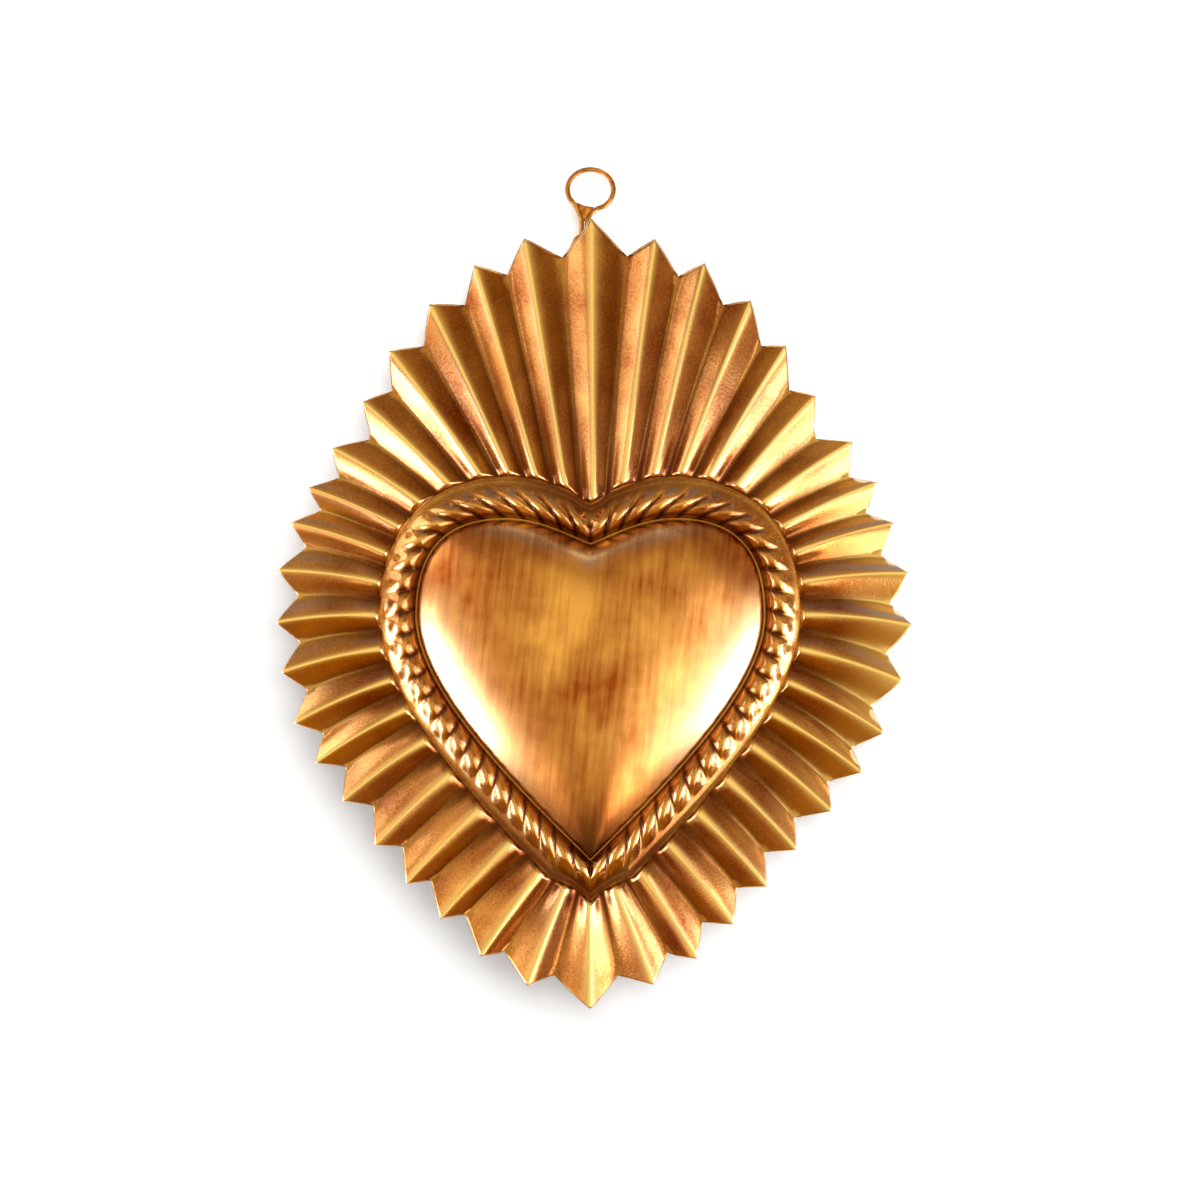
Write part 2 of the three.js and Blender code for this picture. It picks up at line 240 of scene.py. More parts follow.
def turn_from_top(angle):
    """How far an angle lies from straight up, to either side."""
    return np.abs(np.arctan2(np.sin(angle), np.cos(angle)))


def past_lobe(turn):
    """0 at the cleft and 1 from where the lobe turns into the flank."""
    return smooth_step(0.5, 1.2, turn)


def heart_radius(angle):
    """Distance of the heart's edge from the hub, at an angle from straight up."""
    return np.interp(turn_from_top(angle), EDGE_ANGLE, EDGE_RADIUS)


def border_radius(angle, outside):
    """Distance from the hub of a line that follows the heart's edge, this far outside it: the edge's own
    distance plus the offset over the cosine of the edge's slope, with the slope taken across the corners."""
    step = np.radians(CORNER_BLEND)
    radius = heart_radius(angle)
    slope = (heart_radius(angle + step) - heart_radius(angle - step)) / (2 * step * radius)
    return radius + outside * np.hypot(1, slope)


# The front of the sheet, as rings of points round the hub. Each function gives the rings, how much stain and
# painted shade lie on each point, and how bright rubbing and painted highlights make it.

def raised(angle, radius, rise):
    """Points at an angle from straight up and a distance from the hub, raised towards the viewer."""
    angle, radius, rise = np.broadcast_arrays(angle, radius, rise)
    return np.stack([radius * np.sin(angle), -rise, radius * np.cos(angle)], -1)


def waves_at(place, waves):
    """Sum of cosines round the fan."""
    return sum(size * np.cos(count * place + np.radians(start)) for count, size, start in waves)


def ray_columns():
    """Even places round the fan, counted in rays."""
    return np.arange(RAY_COUNT * COLUMNS_PER_RAY) / COLUMNS_PER_RAY


def ray_angle(ray):
    """Angle of a ray's even place round the fan, and of its inner end, which leans out of that place."""
    place = 2 * np.pi * ray / RAY_COUNT
    return place, place + np.radians(waves_at(place, RAY_LEAN))


def dome_rings(angle):
    """The puffed heart: rings that grow from a summit a little below the hub to the heart's edge, on a gently
    domed crown with a rolled edge, the sum of a low and a high power of the share, which ends in a small upright
    step. The edge is a sum of cosines, and the fine ones die out towards the summit, so that no crease runs down
    the middle. A highlight is painted on the flanks, stain with painted shade lies round the edge, and stain is
    left in the tip."""
    fine = np.linspace(0, 2 * np.pi, EDGE_SAMPLES, endpoint=False)
    waves = np.arange(EDGE_SAMPLES // 4 + 1)
    sizes = np.fft.rfft(heart_radius(fine)).real[:len(waves)] / (EDGE_SAMPLES / 2)
    sizes[0] /= 2
    share = np.sin(np.linspace(0.03, 1, DOME_ROWS) * np.pi / 2)[:, None]
    blur = np.exp(-(waves * CROWN_BLUR * (1 - share)) ** 2)
    radius = (sizes * blur) @ np.cos(waves[:, None] * angle)
    turn = turn_from_top(angle)
    gentle = lerp(*CROWN_SHARES, smooth_step(0.2 * np.pi, 0.5 * np.pi, turn))
    crown = 1 - lerp(share ** CROWN_POWERS[1], share ** CROWN_POWERS[0], gentle)
    rise = HEART_RISE * lerp(crown, 1 - share ** CROWN_STEP_POWER, CROWN_STEP)
    rings = raised(angle, share * radius, rise)
    rings[..., 2] -= CROWN_DROP * (1 - share)
    # Stain round the heart's edge with painted shade, in a wider band at the lobes
    lobe_edge = LOBE_EDGE_STAIN_AND_SHADE * smooth_step(0.95, 1, share)
    flank_edge = FLANK_EDGE_STAIN_AND_SHADE * smooth_step(0.995, 1, share)
    from_tip = np.hypot(rings[..., 0] / TIP_STAIN_WIDTH, (rings[..., 2] + TIP_DEPTH) / TIP_STAIN_HEIGHT)
    stain = np.maximum(lerp(lobe_edge, flank_edge, past_lobe(turn)), TIP_STAIN * smooth_step(1.1, 0.1, from_tip))
    # A highlight painted on the heart's flanks, in a band just inside the edge
    flanks = smooth_step(1.2, 1.7, turn) * smooth_step(2.9, 2.4, turn)
    rub = HEART_FLANK_HIGHLIGHT * smooth_step(0.55, 0.85, share) * smooth_step(1, 0.97, share) * flanks
    return rings, stain, rub


def rope_rings(angle):
    """The rope: a low bead, steep inside and falling in a straight line outside its crest, with plump strands
    that cross it at an angle, mirrored about the upright axis. The groove between two strands is where the
    distance along the rope, sheared by the strand's angle, is a whole number of strands. Between two grooves a
    strand swells in an arch, and it dies out towards both edges. Stain with painted shade fills the inner ends of
    the grooves and the inner edge, and painted shade darkens the outer foot at top and bottom."""
    fine = np.linspace(0, np.pi, 1000)
    line = raised(fine, border_radius(fine, MOAT_WIDTH + ROPE_WIDTH / 2), 0)
    steps = np.linalg.norm(np.diff(line, axis=0), axis=1)
    length = np.concatenate([[0], np.cumsum(steps)])
    half = length[-1]
    pitch = 2 * half / STRAND_COUNT
    turn = turn_from_top(angle)
    along = np.interp(turn, fine, length)
    side = np.sin(np.linspace(-1, 1, ROPE_ROWS) * np.pi / 2)[:, None]
    straighten = np.clip(np.minimum(along, half - along) / (2 * pitch), 0, 1)
    slant = straighten * side * ROPE_WIDTH / 2 * np.tan(np.radians(STRAND_ANGLE))
    strand = (along - slant) / pitch
    apart = np.abs(2 * (strand - np.floor(strand)) - 1)
    plump = np.cos(np.pi / 2 * np.clip((side - STRAND_MIDDLE) / STRAND_REACH, -1, 1)) ** STRAND_TAPER
    outside = np.clip((side - ROPE_CREST) * ROPE_WIDTH / 2, 0, None)
    inside = np.clip((ROPE_CREST - side) / (1 + ROPE_CREST), 0, 1)
    bead = ROPE_RISE * (1 - inside ** 3) - ROPE_FALL * (np.hypot(outside, ROPE_ROUND) - ROPE_ROUND)
    rise = bead + STRAND_SWELL * plump * (1 - apart ** 2)
    rings = raised(angle, border_radius(angle, MOAT_WIDTH + ROPE_WIDTH * (1 + side) / 2), rise)
    # Stain with painted shade in the grooves and along the inner edge, stronger on the flanks; painted shade
    # alone on the outer foot at top and bottom
    groove = smooth_step(0.5, -0.1, side) * smooth_step(lerp(0.3, 0.7, (1 + side) / 2), 0.9, apart)
    inner = lerp(ROPE_STAIN_AND_SHADE_AT_LOBES, ROPE_STAIN_AND_SHADE_AT_FLANKS, past_lobe(turn)) * smooth_step(-0.55, -0.85, side)
    foot = ROPE_FOOT_SHADE * smooth_step(0.2, 1, side) * np.cos(angle) ** 2
    stain = np.maximum(GROOVE_STAIN_AND_SHADE * groove, inner + foot)
    return rings, stain, ROPE_RUB * (1 - stain)


def flame_share(ray):
    """1 in the top ray and 0 in the plain rays. Rays count clockwise from the top."""
    return np.clip(1 - np.minimum(ray, RAY_COUNT - ray) / FLAME_RAYS, 0, None)


def ray_rings(ray):
    """The rays: lines from the shoulder to the saw-tooth rim, bowed upwards, raised to a ridge on each whole ray
    and low in the valley between two. The pleat's section is two straight flanks with a rounded crest and
    valley, the difference of two hyperbolas. At the shoulder it starts as a round finger with a quarter round
    at its end. Stain fills the valleys, the sloping faces are darker near the shoulder and most on the lower
    rays, the ridges are rubbed bright, and a highlight is painted on the outer ends of the rays at both sides."""
    place, angle = ray_angle(ray)
    lean = angle - place
    aside = np.abs(2 * (ray - np.floor(ray + 0.5)))
    wander = np.radians(waves_at(place, TIP_WANDER) + NOTCH_SKEW * aside)
    shoulder = lerp(SHOULDER_AT_SIDES, SHOULDER_AT_ENDS, np.cos(angle) ** 2)
    inner_radius = border_radius(angle, MOAT_WIDTH + ROPE_WIDTH + shoulder)
    length = lerp(RAY_LENGTH, FLAME_LENGTH, flame_share(ray)) + waves_at(place, TIP_TRIM)
    notch = lerp(NOTCH_DEPTH, FLAME_NOTCH_DEPTH, flame_share(ray)) * aside
    reach = np.sqrt(length ** 2 - (inner_radius * np.sin(lean)) ** 2)
    inner = raised(angle, inner_radius, 0)
    outer = raised(place + wander, inner_radius * np.cos(lean) + reach - notch, 0)
    run = np.linalg.norm(outer - inner, axis=-1)
    cap_shares = 1 - np.cos(np.linspace(0, np.pi / 2, CAP_ROWS))
    run_shares = np.append(np.linspace(0, LAST_ROW_SHARE, RUN_ROWS)[1:], 1)
    along = np.concatenate([
        cap_shares[:, None] * np.full_like(run, RIDGE_CAP_LENGTH),
        lerp(RIDGE_CAP_LENGTH, run, run_shares[:, None]),
    ])
    share = along / run
    cap = np.sqrt(1 - (1 - np.clip(along / RIDGE_CAP_LENGTH, 0, 1)) ** 2)
    bend = [np.hypot(x, RIDGE_ROUND) - np.hypot(1 - x, VALLEY_ROUND) for x in (0, aside, 1)]
    fold = (bend[2] - bend[1]) / (bend[2] - bend[0])
    finger = (1 + np.cos(np.pi * aside)) / 2
    pleat = lerp(finger, fold, smooth_step(0, FINGER_SHARE, share))
    line = (outer - inner) / run[:, None]
    sideways = np.stack([line[:, 2], 0 * run, -line[:, 0]], -1)
    bow = -RAY_BOW * np.sin(place) * 4 * share * (1 - share)
    rings = inner + along[..., None] * line + bow[..., None] * sideways
    rings[..., 1] = -ROPE_FOOT * (1 - share)
    rings[..., 1] -= lerp(RIDGE_RISE_AT_ROPE, RIDGE_RISE_AT_TIP, share) * cap * pleat
    rings[..., 1] -= NOTCH_LIP * smooth_step(0.8, 1, aside) * smooth_step(NOTCH_LIP_LENGTH, 0, run - along)
    # The pleats' sloping faces are made darker near the shoulder, most on the lower rays
    low_down = smooth_step(0, -0.8, np.cos(place))
    flank = 4 * pleat * (1 - pleat) * lerp(PLEAT_DARKENING, LOW_PLEAT_DARKENING, low_down)
    stain = np.maximum((1 - pleat) ** 1.6 * lerp(1, VALLEY_STAIN_AT_RIM, share), flank * (1 - share))
    # A highlight painted on the outer ends of the rays at both sides, stronger on the right
    side_rub = lerp(LEFT_RAY_HIGHLIGHT, RIGHT_RAY_HIGHLIGHT, (1 + np.sin(place)) / 2) * np.sin(place) ** 4
    rub = np.maximum(cap * pleat ** 8, side_rub * smooth_step(0.3, 1, share))
    return rings, stain, rub


def flat_strip(first, last, stain):
    """Rings that lead straight from one ring to another, without those two."""
    rings = lerp(first, last, np.linspace(0, 1, STRIP_ROWS + 2)[1:-1, None, None])
    return rings, np.broadcast_to(stain, rings.shape[:2]), np.zeros(rings.shape[:2])


def sheet_front():
    """All rings of the front, from the hub to the rim."""
    ray = ray_columns()
    angle = ray_angle(ray)[1]
    dome = dome_rings(angle)
    rope = rope_rings(angle)
    rays = ray_rings(ray)
    # The moat carries stain with painted shade
    moat = flat_strip(dome[0][-1], rope[0][0], MOAT_STAIN_AND_SHADE)
    # The shoulder carries stain, with painted shade added towards top and bottom
    shoulder_stain = lerp(SHOULDER_STAIN_AT_SIDES, SHOULDER_STAIN_AND_SHADE_AT_ENDS, np.cos(angle) ** 2)
    shoulder = flat_strip(rope[0][-1], rays[0][0], shoulder_stain)
    return [np.concatenate(parts) for parts in zip(dome, moat, rope, shoulder, rays)]


def ring_normals(rings):
    """Unit normals of a surface given by closed rings, from the differences along and across them."""
    along = np.roll(rings, -1, 1) - np.roll(rings, 1, 1)
    across = np.gradient(rings, axis=0)
    normals = np.cross(along, across)
    return normals / np.linalg.norm(normals, axis=-1, keepdims=True)


# Meshes

def ring_mesh(name, rings, **attributes):
    """A closed mesh of rings in millimetres: quads between neighbouring rings and a fan of triangles to the
    middle of the first and of the last ring, turned so that its volume comes out positive."""
    count, size = rings.shape[:2]
    points = np.concatenate([rings.reshape(-1, 3), rings[[0, -1]].mean(1)])
    here = np.arange(count * size).reshape(count, size)
    after = np.roll(here, -1, 1)
    quads = np.stack([here[:-1], after[:-1], after[1:], here[1:]], -1).reshape(-1, 4)
    start, end = count * size, count * size + 1
    fans = np.concatenate([
        np.stack([np.full(size, start), after[0], here[0]], -1),
        np.stack([np.full(size, end), here[-1], after[-1]], -1),
    ])
    corners = np.concatenate([quads[:, [0, 1, 2]], quads[:, [0, 2, 3]], fans])
    a, b, c = points[corners].transpose(1, 0, 2)
    if np.einsum("ij,ij->", a, np.cross(b, c)) < 0:
        quads, fans = quads[:, ::-1], fans[:, ::-1]
    mesh = bpy.data.meshes.new(name)
    mesh.from_pydata(points * MM, [], quads.tolist() + fans.tolist())
    for key, values in attributes.items():
        ends = [values[0].mean(), values[-1].mean()]
        data = np.append(values.ravel(), ends).astype(np.float32)
        mesh.attributes.new(key, "FLOAT", "POINT").data.foreach_set("value", data)
    mesh.shade_smooth()
    piece = bpy.data.objects.new(name, mesh)
    bpy.context.scene.collection.objects.link(piece)
    return piece


def stand_for(piece, node, slot, material):
    piece.data.materials.append(material)
    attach(piece, "root")
    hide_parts(node)


# Materials

def linear(colour):
    """sRGB hex to linear red, green, blue and alpha."""
    channels = np.array([int(colour[i:i + 2], 16) for i in (1, 3, 5)]) / 255
    low, high = channels / 12.92, ((channels + 0.055) / 1.055) ** 2.4
    return (*np.where(channels <= 0.04045, low, high), 1)


def add_node(tree, kind, inputs=None, **settings):
    """Adds a node, sets its settings and fills its inputs with values or with other nodes' outputs."""
    node = tree.nodes.new(kind)
    for key, value in settings.items():
        setattr(node, key, value)
    for key, value in (inputs or {}).items():
        if isinstance(value, bpy.types.NodeSocket):
            tree.links.new(value, node.inputs[key])
        else:
            node.inputs[key].default_value = value
    return node


def new_material(name):
    material = bpy.data.materials.new(name)
    material.use_nodes = True
    tree = material.node_tree
    tree.nodes.clear()
    return material, tree


def antiqued_brass():
    """Pressed brass sheet, stained brown and lacquered: dark red in the hollows and with painted shade, pale gold
    where it was rubbed and with painted highlights, and between them a cloudy gold with a fine grain. On the
    heart the grain is brush strokes, which dull it."""
    material, tree = new_material("antiqued brass sheet")
    place = add_node(tree, "ShaderNodeTexCoord").outputs["Object"]
    # The stain attribute also carries painted shade, and the rub attribute also carries painted highlights
    stained, rubbed, brushed, wiped = (
        add_node(tree, "ShaderNodeAttribute", attribute_name=name).outputs["Fac"]
        for name in ("stain", "rub", "brushed", "wiped")
    )
    # Brush strokes a millimetre wide and about 14 mm long, nearly upright on the heart
    leaning = add_node(tree, "ShaderNodeMapping", {"Vector": place, "Rotation": (0, np.radians(-6), 0)})
    stretched = add_node(tree, "ShaderNodeMapping", {
        "Vector": leaning.outputs["Vector"], "Scale": (1 / MM, 1, 1 / (14 * MM)),
    })
    strokes = add_node(tree, "ShaderNodeTexNoise", {
        "Vector": stretched.outputs["Vector"], "Scale": 1, "Detail": 3, "Roughness": 0.55, "Distortion": 0.4,
    }).outputs["Fac"]
    # Grain of the stain, about 0.4 mm
    grain = add_node(tree, "ShaderNodeTexNoise", {
        "Vector": place, "Scale": 1 / (0.4 * MM), "Detail": 2, "Roughness": 0.6,
    }).outputs["Fac"]
    # Clouds of thicker and thinner stain, about 9 mm
    clouds = add_node(tree, "ShaderNodeTexNoise", {
        "Vector": place, "Scale": 1 / (9 * MM), "Detail": 3, "Roughness": 0.5,
    }).outputs["Fac"]
    fine = add_node(tree, "ShaderNodeMix", {0: brushed, 2: grain, 3: strokes}, data_type="FLOAT").outputs[0]
    mottle = add_node(tree, "ShaderNodeMix", {0: 0.35, 2: clouds, 3: fine}, data_type="FLOAT").outputs[0]
    uneven = add_node(tree, "ShaderNodeMath", {0: wiped, 1: 0.2, 2: mottle}, operation="MULTIPLY_ADD")
    tone = add_node(tree, "ShaderNodeValToRGB", {"Fac": uneven.outputs[0]})
    tone.color_ramp.elements[0].position = 0.32
    tone.color_ramp.elements[0].color = linear("#984c12")
    tone.color_ramp.elements[1].position = 0.66
    tone.color_ramp.elements[1].color = linear("#f0c07e")
    # Dark red for the stain, also used for painted shade
    brown = add_node(tree, "ShaderNodeMix", {
        0: stained, 6: tone.outputs["Color"], 7: linear("#4a1000"),
    }, data_type="RGBA")
    # Pale gold for rubbed places, also used for painted highlights
    bright = add_node(tree, "ShaderNodeMix", {
        0: rubbed, 6: brown.outputs[2], 7: linear("#fff0c8"),
    }, data_type="RGBA")
    gloss = add_node(tree, "ShaderNodeMapRange", {
        "Value": mottle, "From Min": 0.3, "From Max": 0.7, "To Min": 0.23, "To Max": 0.13,
    })
    dulled = add_node(tree, "ShaderNodeMath", {
        0: brushed, 1: 0.09, 2: gloss.outputs["Result"],
    }, operation="MULTIPLY_ADD")
    bump = add_node(tree, "ShaderNodeBump", {"Height": fine, "Strength": 0.12, "Distance": 0.08 * MM})
    lacquer = add_node(tree, "ShaderNodeMapRange", {"Value": brushed, "To Min": 0.06, "To Max": 0.35})
    surface = add_node(tree, "ShaderNodeBsdfPrincipled", {
        "Base Color": bright.outputs[2],
        "Metallic": 1,
        "Roughness": dulled.outputs[0],
        "Normal": bump.outputs["Normal"],
        "Coat Weight": 0.25,
        "Coat Roughness": lacquer.outputs["Result"],
    })
    add_node(tree, "ShaderNodeOutputMaterial", {"Surface": surface.outputs["BSDF"]})
    return material


def clouded_metal(name, cloud, detail, dark, pale, roughness, lacquer):
    """Lacquered metal in two tones that drift into each other in clouds of a size in millimetres."""
    material, tree = new_material(name)
    place = add_node(tree, "ShaderNodeTexCoord").outputs["Object"]
    clouds = add_node(tree, "ShaderNodeTexNoise", {"Vector": place, "Scale": 1 / (cloud * MM), "Detail": detail})
    tone = add_node(tree, "ShaderNodeValToRGB", {"Fac": clouds.outputs["Fac"]})
    tone.color_ramp.elements[0].position = 0.35
    tone.color_ramp.elements[0].color = linear(dark)
    tone.color_ramp.elements[1].position = 0.65
    tone.color_ramp.elements[1].color = linear(pale)
    surface = add_node(tree, "ShaderNodeBsdfPrincipled", {
        "Base Color": tone.outputs["Color"], "Metallic": 1, "Roughness": roughness, "Coat Weight": lacquer,
    })
    add_node(tree, "ShaderNodeOutputMaterial", {"Surface": surface.outputs["BSDF"]})
    return material


# The sheet

def make_sheet(hub):
    """The front rings and, offset by the sheet's thickness along their normals, every third of them as the
    back, joined round the rim."""
    front, stain, rub = sheet_front()
    rim = len(front) - 1
    behind = np.append(np.arange(0, rim, FRONT_ROWS_PER_BACK_ROW), rim)[::-1]
    back = (front - SHEET_THICKNESS * ring_normals(front))[behind]
    back_stain = lerp(BACK_STAIN, BACK_STAIN_BEHIND_HOLLOWS, stain[behind])
    rings = np.concatenate([front, back]) + hub
    brushed = np.zeros(rings.shape[:2])
    brushed[:DOME_ROWS] = 1
    x, _, z = np.moveaxis(rings - hub, -1, 0)
    wiped = sum(
        amount * np.exp(-((x - across) / wide) ** 2 - ((z - up) / high) ** 2)
        for across, up, wide, high, amount in PATCHES
    )
    return ring_mesh(
        "pressed_heart_sheet",
        rings,
        stain=np.concatenate([stain, back_stain]),
        rub=np.concatenate([rub, np.zeros(back_stain.shape)]),
        brushed=brushed,
        wiped=wiped * brushed,
    )


# The wire eye

def eye_points(degrees, outside):
    """Points on an oval round the eye's opening, this far outside it. The frame's origin is its top."""
    turn = np.radians(degrees)
    x = (EYE_WIDTH / 2 + outside) * np.cos(turn)
    return np.stack([x, 0 * x, -EYE_HEIGHT / 2 + (EYE_HEIGHT / 2 + outside) * np.sin(turn)], -1)


def smooth_path(points, steps):
    """A smooth line through the points: cubics whose end slopes come from the neighbours, each weighed by the
    square root of the distance between points."""
    points = np.concatenate([[2 * points[0] - points[1]], points, [2 * points[-1] - points[-2]]])
    gap = np.sqrt(np.linalg.norm(np.diff(points, axis=0), axis=1))[:, None]
    p0, p1, p2, p3 = points[:-3], points[1:-2], points[2:-1], points[3:]
    d0, d1, d2 = gap[:-2], gap[1:-1], gap[2:]
    slope1 = d1 * ((p1 - p0) / d0 - (p2 - p0) / (d0 + d1) + (p2 - p1) / d1)
    slope2 = d1 * ((p2 - p1) / d1 - (p3 - p1) / (d1 + d2) + (p3 - p2) / d2)
    t = np.linspace(0, 1, steps, endpoint=False)[None, :, None]
    p1, p2, slope1, slope2 = (part[:, None] for part in (p1, p2, slope1, slope2))
    line = (
        (2 * t ** 3 - 3 * t ** 2 + 1) * p1 + (t ** 3 - 2 * t ** 2 + t) * slope1
        + (3 * t ** 2 - 2 * t ** 3) * p2 + (t ** 3 - t ** 2) * slope2
    )
    return np.concatenate([line.reshape(-1, 3), points[-2:-1]])


def wire_line(tip_height):
    """Up the left leg, round the eye and down the right leg, with the legs straight below the top ray's tip."""
    down = np.array([1, 0.5, 0])[:, None]
    legs = [
        np.array([LEG_SHIFT + side * LEG_SPACING / 2, 0, tip_height]) - down * np.array([0, 0, LEG_LENGTH])
        for side in (-1, 1)
    ]
    eye = eye_points(np.linspace(EYE_LEFT_TURN, EYE_RIGHT_TURN, 15), WIRE_RADIUS)
    return smooth_path(np.concatenate([legs[0], eye, legs[1][::-1]]), 10)


def make_wire(tip_height):
    """A round section carried along a flat path, with both ends rounded over."""
    line = wire_line(tip_height)
    tangent = np.gradient(line, axis=0)
    tangent /= np.linalg.norm(tangent, axis=1, keepdims=True)
    across = np.cross(tangent, [0, 1, 0])
    turn = np.linspace(0, 2 * np.pi, 20, endpoint=False)[:, None]
    section = np.cos(turn) * np.array([0, 1, 0]) + np.sin(turn) * across[:, None]
    from_end = np.minimum(np.arange(len(line)), np.arange(len(line))[::-1])
    radius = WIRE_RADIUS * np.array([0.6, 0.9, 1])[np.minimum(from_end, 2)]
    return ring_mesh("hanger_eye_wire", line[:, None] + radius[:, None, None] * section)


def make_web(tip_height):
    """Solder in the fork of the legs: a web that is thin in its middle and climbs both wires, from the curve of
    the eye's opening down to where the legs meet."""
    turn = np.linspace(0, 2 * np.pi, 40, endpoint=False)
    across, front = np.cos(turn), np.sin(turn)
    down = np.linspace(0, 1, 14)[:, None]
    ends = np.array([EYE_LEFT_TURN + WEB_OVERLAP, EYE_RIGHT_TURN - WEB_OVERLAP])
    left, right = eye_points(ends, WIRE_RADIUS)
    top_x = lerp(left[0], right[0], (1 + across) / 2)
    top_z = -EYE_HEIGHT / 2 - EYE_HEIGHT / 2 * np.sqrt(1 - (top_x / (EYE_WIDTH / 2)) ** 2)
    foot_x = LEG_SHIFT + across * LEG_SPACING / 2
    x = lerp(top_x, foot_x, down ** 0.7)
    z = lerp(top_z, tip_height - WEB_FOOT, down)
    depth = front * lerp(WEB_MIDDLE, 0.85 * WIRE_RADIUS, np.abs(across) ** 1.5) * np.abs(front) ** 0.3
    return ring_mesh("eye_solder_web", np.stack([x, np.broadcast_to(depth, x.shape), z], -1))


def make_seat(tip_height, hub):
    """Solder that holds the legs in the fold behind the top ray: a flattened drop with a lumpy skin, pushed back
    wherever it would cross the fold."""
    fold = ray_rings(np.array([0, 0.5]))[0] + hub
    ridge, valley = fold[np.argmin(np.abs(fold[:, 0, 2] - tip_height + LEG_LENGTH))]
    fold_slope = (valley[1] - ridge[1]) / (valley[0] - ridge[0])
    fold_back = ridge[1] + SHEET_THICKNESS * np.hypot(1, fold_slope)
    rise = np.linspace(-1, 1, 26)[1:-1, None]
    turn = np.linspace(0, 2 * np.pi, 40, endpoint=False)
    lumps = 1 + 0.06 * np.sin(3 * turn + 4 * rise) + 0.05 * np.sin(5 * turn - 7 * rise)
    girth = np.sqrt(1 - rise ** 2) * lumps
    x = LEG_SHIFT + SEAT_WIDTH / 2 * girth * np.cos(turn)
    y = np.maximum(SEAT_RISE * girth * np.sin(turn), fold_back + fold_slope * np.abs(x - ridge[0]))
    z = tip_height - LEG_LENGTH + SEAT_LENGTH / 2 * (1 + rise) + 0 * turn
    return ring_mesh("leg_solder_drop", np.stack([x, y, z], -1))


# The stage

def make_wall(back, middle):
    """A white wall just behind the ornament, seen from its front only. It falls away to the lower left, where
    the ornament's shadow shows."""
    mesh = bpy.data.meshes.new("white_wall")
    corners = np.array([(-1, 0, -1), (1, 0, -1), (1, 0, 1), (-1, 0, 1)]) * WALL_REACH * MM
    corners[:, 1] = back - WALL_SLOPE * (corners[:, 0] + corners[:, 2] - middle * MM)
    mesh.from_pydata(corners, [], [(0, 1, 2, 3)])
    wall = bpy.data.objects.new("white_wall", mesh)
    bpy.context.scene.collection.objects.link(wall)
    # Matt white paint, lifted a little where the camera or the metal sees it
    material, tree = new_material("white wall")
    path = add_node(tree, "ShaderNodeLightPath").outputs
    seen = path["Is Camera Ray"]
    for kind in ("Is Glossy Ray", "Is Transmission Ray"):
        seen = add_node(tree, "ShaderNodeMath", {0: seen, 1: path[kind]}, operation="ADD").outputs[0]
    level = add_node(tree, "ShaderNodeMath", {0: seen, 1: WALL_GLOW}, operation="MULTIPLY")
    glow = add_node(tree, "ShaderNodeEmission", {"Strength": level.outputs[0]})
    paint = add_node(tree, "ShaderNodeBsdfDiffuse", {"Color": linear("#f2f2f0")})
    lit = add_node(tree, "ShaderNodeAddShader", {0: paint.outputs[0], 1: glow.outputs[0]})
    clear = add_node(tree, "ShaderNodeBsdfTransparent")
    side = add_node(tree, "ShaderNodeNewGeometry").outputs["Backfacing"]
    both = add_node(tree, "ShaderNodeMixShader", {0: side, 1: lit.outputs[0], 2: clear.outputs[0]})
    add_node(tree, "ShaderNodeOutputMaterial", {"Surface": both.outputs[0]})
    mesh.materials.append(material)
    return wall


def add_light(name, kind, facing, along=(0, 0, 1), centre=(0, 0, 0), **settings):
    """Adds a lamp that shines the way it faces, with its first side along a direction. Millimetres."""
    light = bpy.data.lights.new(name, kind)
    for key, value in settings.items():
        setattr(light, key, value)
    lamp = bpy.data.objects.new(name, light)
    bpy.context.scene.collection.objects.link(lamp)
    backwards = -np.array(facing) / np.linalg.norm(facing)
    first = np.array(along) - np.dot(along, backwards) * backwards
    first /= np.linalg.norm(first)
    turn = np.eye(4)
    turn[:3, 0] = first
    turn[:3, 1] = np.cross(backwards, first)
    turn[:3, 2] = backwards
    turn[:3, 3] = np.array(centre) * MM
    lamp.matrix_world = Matrix(turn)
    lamp.visible_camera = False
    return lamp


def add_panel(name, centre, facing, along, size, radiance, colour, receivers):
    """A soft panel of even brightness that lights only the ornament, as if flags kept it off the wall."""
    width, height = (side * MM for side in size)
    energy = radiance * np.pi * width * height
    lamp = add_light(
        name, "AREA", facing, along, centre,
        shape="RECTANGLE", size=width, size_y=height, energy=energy, color=linear(colour)[:3],
    )
    lamp.light_linking.receiver_collection = receivers


